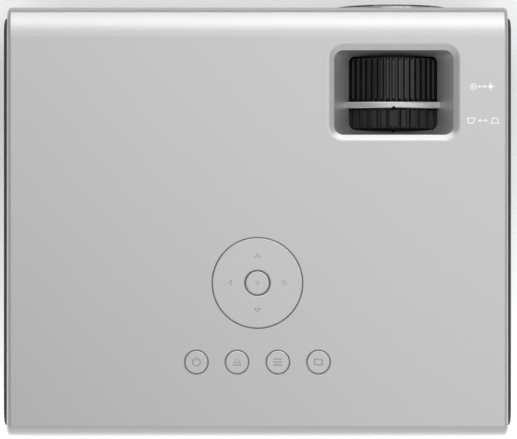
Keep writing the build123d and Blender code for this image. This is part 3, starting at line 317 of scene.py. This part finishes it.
def glassFinish(glass):
    finish, tree, shader, coords = newFinish(glass["name"])
    tone = addNoise(tree, coords, glassCloud)
    tree.links.new(addRamp(tree, tone, glass["dark"], glass["light"]), shader.inputs["Base Color"])
    shader.inputs["Roughness"].default_value = glass["rough"]
    shader.inputs["Transmission Weight"].default_value = 1.0
    shader.inputs["IOR"].default_value = glassIor
    shader.inputs["Thin Film Thickness"].default_value = glass["coating"]
    shader.inputs["Thin Film IOR"].default_value = coatingIor
    return finish


# lacquered board: paler tracks with hard edges, standing a little proud
board = {
    "ground": (0.012, 0.10, 0.045),
    "track": (0.03, 0.21, 0.10),
    "edge": (0.48, 0.52),
    "stretch": (1, 6, 1),
    "scale": 260.0,
    "rough": (0.45, 0.3),
    "depth": 0.00003,
}


def boardFinish():
    finish, tree, shader, coords = newFinish("circuitBoard")
    tracks = addNoise(tree, addStretch(tree, coords, board["stretch"]), board["scale"], 1.0)
    color = addRamp(tree, tracks, board["ground"], board["track"], *board["edge"])
    tree.links.new(color, shader.inputs["Base Color"])
    tree.links.new(addRange(tree, tracks, *board["rough"]), shader.inputs["Roughness"])
    addBump(tree, shader, tracks, board["depth"])
    return finish


def makeFinishes():
    finishes = {
        "silver": silverFinish("silverLacquer"),
        "keySilver": silverFinish("keyLacquer", silver["keyFlakes"], silver["keyLift"]),
        "board": boardFinish(),
    }
    for key, grain in grains.items():
        finishes[key] = grainFinish(grain)
    for key, metal in metals.items():
        finishes[key] = metalFinish(metal)
    for key, glass in glasses.items():
        finishes[key] = glassFinish(glass)
    return finishes


nodeFinish = {
    "silver": ["top_cover", "tray_bezel"],
    "keySilver": ["nav_ring", "centre_button", "power_button", "open_button", "menu_button", "source_button",
                  "eject_button"],
    "darkShell": ["bottom_cover", "disc_side_panel", "lens_side_panel"],
    "gloss": ["lens_bezel"],
    "matt": ["foot_screw", "lens_tube", "ring_spacers", "keystone_ring", "keystone_slider", "lcd_carrier",
             "engine_housing", "engine_lid", "fan_frame", "fan_rotor", "speakers", "disc_tray", "spindle_hub",
             "nav_gimbal", "nav_bracket", "key_switches", "audio_socket", "power_socket"],
    "ringBlack": ["focus_ring"],
    "rubber": ["rubber_feet", "foot_pad"],
    "steel": ["case_screws", "cam_pins", "tray_slides", "guide_rods", "lead_screw", "sled_motor"],
    "zinc": ["drive_chassis", "drive_cover", "spindle_motor", "video_socket", "usb_socket"],
    "aluminium": ["led_module", "heat_sink", "pickup_sled"],
    "anodised": ["lens_barrel"],
    "brass": ["tripod_insert"],
    "glass": ["rear_glass", "lcd_panel", "fresnel_lenses", "condenser_lens", "pickup_lens"],
    "coatedGlass": ["front_glass"],
    "smoked": ["ir_window"],
    "board": ["key_board", "main_board"],
}


def dressNodes(finishes):
    for finish, names in nodeFinish.items():
        for name in names:
            piece = nodes[name]
            piece.data.materials.clear()
            piece.data.materials.append(finishes[finish])
    print("nodes dressed")


def pick(piece):
    if bpy.context.mode != "OBJECT":
        bpy.ops.object.mode_set(mode="OBJECT")
    bpy.ops.object.select_all(action="DESELECT")
    piece.select_set(True)
    bpy.context.view_layer.objects.active = piece


def editAll(piece):
    # edit mode with everything selected
    pick(piece)
    bpy.ops.object.mode_set(mode="EDIT")
    bpy.ops.mesh.select_all(action="SELECT")


def place(x, y, z):
    return Vector((x * mm, y * mm + middleY, z * mm))  # case coordinates in millimetres


def settle(piece, name, body, finish, smooth=35):
    # smooth is the sharpest angle, in degrees, that still shades round; 0 keeps the piece flat
    pick(piece)
    bpy.ops.object.transform_apply(location=True, rotation=True, scale=True)
    piece.name = name
    piece.data.name = name
    piece.data.materials.clear()
    piece.data.materials.append(finish)
    if smooth:
        bpy.ops.object.shade_smooth_by_angle(angle=math.radians(smooth))
    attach(piece, body)
    piece.select_set(False)


def applyAll(piece):
    pick(piece)
    for modifier in list(piece.modifiers):
        bpy.ops.object.modifier_apply(modifier=modifier.name)


def joinAll(parts):
    pick(parts[0])
    for part in parts:
        part.select_set(True)
    bpy.ops.object.join()
    return bpy.context.object


def copyTurned(piece, count, centre, axis):
    # the same piece all round an axis, each copy with its own mesh
    copies = [piece]
    for step in range(1, count):
        pick(piece)
        bpy.ops.object.duplicate()
        turned = bpy.context.object
        editAll(turned)
        bpy.ops.transform.rotate(value=step * 2 * math.pi / count, orient_axis=axis, center_override=centre)
        bpy.ops.object.mode_set(mode="OBJECT")
        copies.append(turned)
    return joinAll(copies)


seamGap = 0.002     # points nearer than this are the same point


def lathe(points, centre, axis, steps=64):
    # points are (radius, along) in millimetres; the radius is drawn along Z, or along X when the axis is Z
    along = Vector(axis)
    out = Vector((1, 0, 0)) if along.z else Vector((0, 0, 1))
    spots = [centre + out * radius * mm + along * step * mm for radius, step in points]
    bpy.ops.mesh.primitive_plane_add(size=mm, location=spots[0])
    piece = bpy.context.object
    editAll(piece)
    bpy.ops.mesh.merge(type="CENTER")
    for start, end in zip(spots, spots[1:]):
        bpy.ops.mesh.extrude_region_move(TRANSFORM_OT_translate={"value": end - start})
    bpy.ops.mesh.select_all(action="SELECT")
    bpy.ops.mesh.spin(steps=steps, angle=2 * math.pi, center=centre, axis=axis)
    bpy.ops.mesh.select_all(action="SELECT")
    bpy.ops.mesh.remove_doubles(threshold=seamGap * mm)
    bpy.ops.mesh.normals_make_consistent(inside=False)
    bpy.ops.object.mode_set(mode="OBJECT")
    return piece


def roundedBlock(size, location, bevel, segments=2, rotation=(0, 0, 0)):
    bpy.ops.mesh.primitive_cube_add(size=1, location=location, rotation=rotation)
    piece = bpy.context.object
    piece.scale = Vector(size) * mm
    bpy.ops.object.transform_apply(location=False, rotation=False, scale=True)
    edge = piece.modifiers.new("edge", "BEVEL")
    edge.width = bevel * mm
    edge.segments = segments
    applyAll(piece)
    return piece


def thicken(piece, thickness, offset=1.0):
    solid = piece.modifiers.new("solid", "SOLIDIFY")
    solid.thickness = thickness * mm
    solid.offset = offset
    applyAll(piece)


facings = {
    "up": (0, 0, 0),
    "front": (math.pi / 2, 0, 0),
}


def flatShape(corners, spot, size, turn=0.0, stretch=(1, 1), line=0.0, facing="up"):
    # flat printed shape; with a line width only its outline is kept
    bpy.ops.mesh.primitive_circle_add(vertices=corners, radius=size * mm, fill_type="NGON", rotation=(0, 0, turn))
    piece = bpy.context.object
    bpy.ops.object.transform_apply(location=False, rotation=True, scale=False)
    piece.scale = (*stretch, 1)
    bpy.ops.object.transform_apply(location=False, rotation=False, scale=True)
    if line:
        editAll(piece)
        bpy.ops.mesh.inset(thickness=line * mm)
        bpy.ops.mesh.delete(type="FACE")
        bpy.ops.object.mode_set(mode="OBJECT")
    piece.rotation_euler = facings[facing]
    piece.location = spot
    return piece


# printed signs beside the ring well: a blurred and a sharp spot, and two slanted pictures
signs = {
    "focusAt": (-105.6, -63.4),
    "blurRings": ((1.6, 0.36), (0.75, 0.3)),    # radius and line of each ring of the blurred spot
    "spots": 4.0,           # each spot's distance from the middle of the sign
    "spot": 1.0,
    "rays": 4,
    "ray": 0.28,
    "rayReach": 1.6,
    "focusArrow": 1.3,      # half the arrow's length
    "keystoneAt": (-106.0, -47.4),
    "pictures": 5.6,
    "picture": (2.9, 2.0),
    "squeeze": 0.62,        # width of the short side against the long one
    "line": 0.42,
    "keystoneArrow": 1.5,
    "arrowHead": 0.95,
    "arrowBar": (1.1, 0.3),
    "ink": 0.01,        # thickness of the print
}
quarterTurn = math.pi / 2


def onTop(x, y):
    return place(x, y, topZ / mm)


def signArrow(x, y, half):
    long, thin = signs["arrowBar"]
    shapes = [flatShape(4, onTop(x, y), 1, quarterTurn / 2, (half * long, thin))]
    for side in (-1, 1):
        shapes.append(flatShape(3, onTop(x + side * half, y), signs["arrowHead"], -side * quarterTurn))
    return shapes


def slantedPicture(x, y, lean):
    # square picture squeezed at one end, as the ring squeezes it
    picture = flatShape(4, onTop(x, y), 1.0, quarterTurn / 2, signs["picture"])
    pick(picture)
    bpy.ops.object.mode_set(mode="EDIT")
    bpy.ops.mesh.select_all(action="DESELECT")
    bpy.ops.object.mode_set(mode="OBJECT")
    for edge in picture.data.edges:
        edge.select = all(picture.data.vertices[index].co.y * lean > 0 for index in edge.vertices)
    bpy.ops.object.mode_set(mode="EDIT")
    bpy.ops.transform.resize(value=(signs["squeeze"], 1, 1))
    bpy.ops.mesh.select_all(action="SELECT")
    bpy.ops.mesh.inset(thickness=signs["line"] * mm)
    bpy.ops.mesh.delete(type="FACE")
    bpy.ops.object.mode_set(mode="OBJECT")
    return picture


def makeSigns(finish):
    x, y = signs["focusAt"]
    blurred, sharp = x + signs["spots"], x - signs["spots"]
    shapes = [flatShape(40, onTop(blurred, y), radius, line=line) for radius, line in signs["blurRings"]]
    shapes += signArrow(x, y, signs["focusArrow"])
    shapes.append(flatShape(32, onTop(sharp, y), signs["spot"]))
    for step in range(signs["rays"]):
        turn = step * 2 * math.pi / signs["rays"]
        across, along = signs["rayReach"] * math.cos(turn), signs["rayReach"] * math.sin(turn)
        shapes.append(flatShape(12, onTop(sharp + across, y + along), signs["ray"]))
    focusSign = joinAll(shapes)
    thicken(focusSign, signs["ink"])
    settle(focusSign, "focusSign", "case", finish, smooth=0)
    x, y = signs["keystoneAt"]
    shapes = [slantedPicture(x + signs["pictures"], y, 1)]
    shapes += signArrow(x, y, signs["keystoneArrow"])
    shapes.append(slantedPicture(x - signs["pictures"], y, -1))
    keystoneSign = joinAll(shapes)
    thicken(keystoneSign, signs["ink"])
    settle(keystoneSign, "keystoneSign", "case", finish, smooth=0)
    print("signs printed")


# trim ring and light baffles of the lens mouth, and the ring that holds the front glass
lensMouth = {
    "trim": [(27.45, -100.9), (27.45, -101.75), (27.7, -101.75), (27.85, -101.6), (27.85, -101.1),
             (27.75, -101.0), (27.45, -100.9)],
    "baffles": ((24.9, -102.05), (23.55, -100.3), (22.3, -98.6)),       # radius and place of each
    "baffle": [(0.35, 0.0), (-0.35, 0.12), (-0.45, 0.5), (-0.1, 0.9), (0.35, 0.6), (0.35, 0.0)],
    "retainer": [(18.9, -89.0), (18.8, -89.35), (17.6, -89.35), (16.9, -88.6), (17.0, -88.25), (18.9, -88.25),
                 (18.9, -89.0)],
}


def makeLensMouth(metal, black):
    centre = Vector((lensX, middleY, lensZ))
    trim = lathe(lensMouth["trim"], centre, (0, 1, 0), steps=128)
    settle(trim, "lensTrimRing", "case", metal)
    rings = []
    for radius, y in lensMouth["baffles"]:
        section = [(radius + out, y + back) for out, back in lensMouth["baffle"]]
        rings.append(lathe(section, centre, (0, 1, 0), steps=96))
    settle(joinAll(rings), "lensBaffles", "case", black)
    retainer = lathe(lensMouth["retainer"], centre, (0, 1, 0), steps=96)
    settle(retainer, "glassRetainer", "lens_barrel", black)
    print("lens mouth trimmed")


# dark mark at the middle of the well's rear wall, which slopes back as it rises
wellTick = {
    "low": 70.9,
    "high": 75.2,
    "width": 1.2,
    "thickness": 0.08,
    "edge": 0.03,
    "wallY": -43.4,
    "wallZ": 70.2,
    "slope": 0.295,
    "sunk": 0.02,
}


def makeWellTick(finish):
    low, high = wellTick["low"], wellTick["high"]
    middle = (low + high) / 2
    y = wellTick["wallY"] + wellTick["slope"] * (middle - wellTick["wallZ"]) - wellTick["sunk"]
    lean = math.atan(wellTick["slope"])
    size = (wellTick["width"], wellTick["thickness"], (high - low) / math.cos(lean))
    tick = roundedBlock(size, place(lensX / mm, y, middle), wellTick["edge"], segments=1, rotation=(-lean, 0, 0))
    settle(tick, "keystoneTick", "case", finish)


# oval cones with a dust cap, one behind each cheek panel
speaker = {
    "places": (("Disc", 1, -55.0, 54.0), ("Lens", -1, -7.0, 42.0)),    # panel, side, y and z
    "face": 115.3,
    "cone": [(0.0, -2.6), (3.2, -2.5), (7.6, -0.6), (8.2, -0.1), (8.8, 0.35), (9.4, 0.1), (9.9, -0.5)],
    "oval": (1, 2.1, 0.93),
    "coneWall": 0.3,
    "cap": [(0.0, -0.4), (1.6, -0.8), (2.9, -1.6), (3.6, -2.6)],
    "capWall": 0.25,
}


def makeSpeakerCones(paper, gloss):
    for panel, side, y, z in speaker["places"]:
        centre = place(side * speaker["face"], y, z)
        cone = lathe(speaker["cone"], centre, (side, 0, 0), steps=48)
        editAll(cone)
        bpy.ops.transform.resize(value=speaker["oval"], center_override=centre)
        bpy.ops.object.mode_set(mode="OBJECT")
        thicken(cone, speaker["coneWall"], 0.0)
        settle(cone, "speakerCone" + panel, "case", paper, smooth=50)
        cap = lathe(speaker["cap"], centre, (side, 0, 0), steps=32)
        thicken(cap, speaker["capWall"], 0.0)
        settle(cap, "dustCap" + panel, "case", gloss, smooth=50)
    print("speaker cones pressed")


# fine wire mesh bonded behind the speaker slots
speakerMesh = {"long": 57.0, "high": 26.5, "x": 117.83, "pitch": 1.25, "wire": 0.28}


def makeSpeakerMesh(finish):
    rows, columns = (round(speakerMesh[size] / speakerMesh["pitch"]) for size in ("high", "long"))
    for panel, side, y, z in speaker["places"]:
        bpy.ops.mesh.primitive_grid_add(
            x_subdivisions=rows, y_subdivisions=columns, size=mm, location=place(side * speakerMesh["x"], y, z),
            rotation=(0, side * quarterTurn, 0))
        mesh = bpy.context.object
        mesh.scale = (speakerMesh["high"], speakerMesh["long"], 1)
        bpy.ops.object.transform_apply(location=False, rotation=False, scale=True)
        wires = mesh.modifiers.new("wires", "WIREFRAME")
        wires.thickness = speakerMesh["wire"] * mm
        applyAll(mesh)
        settle(mesh, "speakerMesh" + panel, "case", finish, smooth=0)
    print("speaker meshes fitted")


# exhaust fan: cup-shaped hub with wide swept blades
fan = {
    "centre": (61.0, 41.0),
    "middle": -109.2,
    "hub": [(0, -3.3), (6.6, -3.3), (7.1, -3.7), (9.4, -3.7), (10.2, -3.45), (10.5, -2.7), (10.5, 3.7), (9.4, 3.7),
            (9.4, -2.2), (2.2, -2.2), (2.2, 3.4), (1.06, 3.4), (1.06, -2.9), (0, -2.9)],
    "blades": 7,
    "chord": 7.4,
    "camber": (-0.7, -0.25, 0.25, 0.7),     # rise of each quarter of the chord
    "pitch": 40.0,
    "root": 9.7,
    "tip": 22.2,
    "rows": 6,
    "sweep": 5.5,       # degrees that each row leans on from the one inside it
    "thickness": 0.9,
    "edge": 0.25,
    "edgeAngle": 50,    # degrees; only sharper edges are rounded
}


def makeFan(finish):
    centre = place(fan["middle"], *fan["centre"])
    hub = lathe(fan["hub"], centre, (1, 0, 0), steps=56)
    root = centre + Vector((0, 0, fan["root"])) * mm
    bpy.ops.mesh.primitive_plane_add(size=mm, location=root - Vector((fan["chord"] / 2, 0, 0)) * mm)
    blade = bpy.context.object
    editAll(blade)
    bpy.ops.mesh.merge(type="CENTER")
    quarter = fan["chord"] / len(fan["camber"]) * mm
    for rise in fan["camber"]:
        bpy.ops.mesh.extrude_region_move(TRANSFORM_OT_translate={"value": (quarter, rise * mm, 0)})
    bpy.ops.mesh.select_all(action="SELECT")
    bpy.ops.transform.rotate(value=math.radians(fan["pitch"]), orient_axis="Z", center_override=root)
    reach = [fan["root"] + (fan["tip"] - fan["root"]) * row / fan["rows"] for row in range(fan["rows"] + 1)]
    for near, far in zip(reach, reach[1:]):
        bpy.ops.mesh.extrude_region_move(TRANSFORM_OT_translate={"value": (0, 0, 0)})
        bpy.ops.transform.resize(value=(1, far / near, far / near), center_override=centre)
        bpy.ops.transform.rotate(value=math.radians(fan["sweep"]), orient_axis="X", center_override=centre)
    bpy.ops.object.mode_set(mode="OBJECT")
    thicken(blade, fan["thickness"], 0.0)
    edge = blade.modifiers.new("edge", "BEVEL")
    edge.width = fan["edge"] * mm
    edge.segments = 2
    edge.limit_method = "ANGLE"
    edge.angle_limit = math.radians(fan["edgeAngle"])
    applyAll(blade)
    rotor = joinAll([hub, copyTurned(blade, fan["blades"], centre, "X")])
    settle(rotor, "fanWheel", "fan_rotor", finish, smooth=40)
    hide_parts("fan_rotor")
    print("fan bladed")


# contacts and trims of the side sockets
sockets = {
    "video": (112.8, 36.0, 40.8),
    "videoContact": (7.6, 0.5, 0.08),
    "videoRow": 9,
    "videoPitch": 1.15,
    "videoGap": 0.62,       # each row's distance from the middle of the tongue
    "data": (112.4, 53.0, 41.48),
    "dataContact": (8.4, 1.0, 0.08),
    "dataAt": (-3.5, -1.2, 1.2, 3.5),
    "edge": 0.03,
    "audio": (118.6, 67.0, 41.6),
    "collar": [(2.0, 0.0), (2.0, 0.35), (2.3, 0.5), (3.4, 0.5), (3.75, 0.2), (3.75, 0.0), (2.0, 0.0)],
    "power": (108.2, 80.0, 42.6),
    "pin": [(0, 0.2), (1.06, 0.2), (1.06, 8.7), (0.8, 9.25), (0.35, 9.5), (0, 9.55)],
}


def makeContacts(gold, steel):
    x, y, z = sockets["video"]
    strips = []
    for side in (-1, 1):
        for step in range(sockets["videoRow"]):
            shift = (step - (sockets["videoRow"] - 1) / 2) * sockets["videoPitch"]
            spot = place(x, y + shift, z + side * sockets["videoGap"])
            strips.append(roundedBlock(sockets["videoContact"], spot, sockets["edge"], segments=1))
    x, y, z = sockets["data"]
    for shift in sockets["dataAt"]:
        strips.append(roundedBlock(sockets["dataContact"], place(x, y + shift, z), sockets["edge"], segments=1))
    settle(joinAll(strips), "socketContacts", "case", gold, smooth=0)
    collar = lathe(sockets["collar"], place(*sockets["audio"]), (1, 0, 0), steps=48)
    pin = lathe(sockets["pin"], place(*sockets["power"]), (1, 0, 0), steps=32)
    settle(joinAll([collar, pin]), "socketTrims", "case", steel)
    print("sockets finished")


# moulded feet with a grooved tread
feet = {
    "x": (-98.0, 98.0),
    "y": (-80.0, 82.0),
    "profile": [(0, 0.5), (1.6, 0.5), (1.8, 0.0), (2.9, 0.0), (3.1, 0.5), (3.9, 0.5), (4.1, 0.0), (5.4, 0.0),
                (6.3, 0.3), (6.85, 0.9), (7.0, 1.6), (7.0, 4.75), (0, 4.75)],
}


def makeFeet(finish):
    spots = [place(x, y, 0) for x in feet["x"] for y in feet["y"]]
    treads = joinAll([lathe(feet["profile"], spot, (0, 0, 1), steps=48) for spot in spots])
    settle(treads, "footTreads", "case", finish, smooth=30)
    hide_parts("rubber_feet")
    print("feet moulded")


# what shows on the open tray: the hub's rubber seat and the pickup's lens mover
trayDetail = {
    "hub": (45.0, -36.0, 27.9),
    "seat": [(8.2, -0.05), (8.2, 0.07), (8.4, 0.12), (12.1, 0.12), (12.4, 0.05), (12.4, -0.05), (8.2, -0.05)],
    "pickup": (45.0, -14.0, 26.8),
    "holder": [(3.05, -0.1), (3.05, 0.25), (3.3, 0.4), (4.2, 0.4), (4.5, 0.2), (4.5, -0.1), (3.05, -0.1)],
    "arm": {"size": (1.6, 7.0, 0.5), "across": 4.7, "up": 0.15, "edge": 0.15},
    "magnet": {"size": (1.8, 6.0, 0.7), "across": 7.2, "up": 0.25, "edge": 0.12},
    "yoke": {"size": (0.5, 7.4, 0.9), "across": 8.6, "up": 0.3, "edge": 0.08},
    "wire": {"size": (0.9, 0.22, 0.12), "across": 4.7, "up": 0.45, "edge": 0.03},
    "wireShifts": (-4.1, 4.1),      # along the tray
}


def onPickup(block, segments=2, shifts=(0.0,)):
    # the same block on both sides of the pickup's lens
    x, y, z = trayDetail["pickup"]
    copies = []
    for side in (-1, 1):
        for shift in shifts:
            spot = place(x + side * block["across"], y + shift, z + block["up"])
            copies.append(roundedBlock(block["size"], spot, block["edge"], segments))
    return copies


def makeTrayDetail(rubber, black, steel, copper):
    seat = lathe(trayDetail["seat"], place(*trayDetail["hub"]), (0, 0, 1), steps=72)
    settle(seat, "hubSeat", "spindle_hub", rubber, smooth=30)
    holder = lathe(trayDetail["holder"], place(*trayDetail["pickup"]), (0, 0, 1), steps=48)
    arms = onPickup(trayDetail["arm"])
    settle(joinAll([holder] + arms), "lensHolder", "pickup", black)
    magnets = onPickup(trayDetail["magnet"]) + onPickup(trayDetail["yoke"])
    settle(joinAll(magnets), "pickupMagnets", "pickup", steel)
    wires = onPickup(trayDetail["wire"], segments=1, shifts=trayDetail["wireShifts"])
    settle(joinAll(wires), "pickupWires", "pickup", copper, smooth=0)
    print("tray detailed")


# sheet steel under the tray, with a pressed field
trayBelly = {
    "x": (-14.6, 104.6),
    "y": (-98.4, 27.0),
    "top": 20.76,
    "corner": 5.0,
    "rim": 2.6,
    "step": 1.4,
    "depth": 0.12,      # of the pressed field
    "sheet": 0.22,
}


def makeTrayBelly(finish):
    lowX, highX = trayBelly["x"]
    lowY, highY = trayBelly["y"]
    centre = place((lowX + highX) / 2, (lowY + highY) / 2, trayBelly["top"])
    bpy.ops.mesh.primitive_plane_add(size=mm, location=centre)
    belly = bpy.context.object
    belly.scale = (highX - lowX, highY - lowY, 1)
    bpy.ops.object.transform_apply(location=False, rotation=False, scale=True)
    editAll(belly)
    bpy.ops.mesh.bevel(offset=trayBelly["corner"] * mm, segments=6, affect="VERTICES")
    bpy.ops.mesh.inset(thickness=trayBelly["rim"] * mm)
    bpy.ops.mesh.inset(thickness=trayBelly["step"] * mm, depth=-trayBelly["depth"] * mm)
    bpy.ops.object.mode_set(mode="OBJECT")
    thicken(belly, trayBelly["sheet"], -1.0)
    settle(belly, "trayBelly", "disc_tray", finish, smooth=20)
    print("tray belly pressed")


# sign and lamp on the tray's face
trayFront = {
    "button": (92.0, -101.3, 25.6),
    "arrow": 0.85,
    "arrowUp": 0.25,
    "bar": (1.45, 0.3),
    "barDown": 0.75,
    "ink": 0.03,
    "lamp": (74.0, -101.0, 25.6),
    "lens": [(0, -0.28), (0.35, -0.25), (0.65, -0.16), (0.85, 0.02), (0.85, 0.1), (0, 0.1)],
}


def makeTrayFront(ink, lens):
    x, y, z = trayFront["button"]
    arrow = flatShape(3, place(x, y, z + trayFront["arrowUp"]), trayFront["arrow"], facing="front")
    bar = flatShape(4, place(x, y, z - trayFront["barDown"]), math.sqrt(0.5), quarterTurn / 2, trayFront["bar"],
                    facing="front")
    sign = joinAll([arrow, bar])
    thicken(sign, trayFront["ink"])
    settle(sign, "ejectSign", "eject_button", ink, smooth=0)
    lamp = lathe(trayFront["lens"], place(*trayFront["lamp"]), (0, 1, 0), steps=32)
    settle(lamp, "trayLamp", "disc_tray", lens)
    print("tray face finished")


addCamera()
addStudio()
finishes = makeFinishes()
dressNodes(finishes)
makeSigns(finishes["print"])
makeLensMouth(finishes["steel"], finishes["matt"])
makeWellTick(finishes["matt"])
makeSpeakerCones(finishes["paper"], finishes["gloss"])
makeSpeakerMesh(finishes["matt"])
makeFan(finishes["matt"])
makeContacts(finishes["brass"], finishes["steel"])
makeFeet(finishes["rubber"])
makeTrayDetail(finishes["rubber"], finishes["matt"], finishes["steel"], finishes["brass"])
makeTrayBelly(finishes["zinc"])
makeTrayFront(finishes["darkInk"], finishes["lamp"])
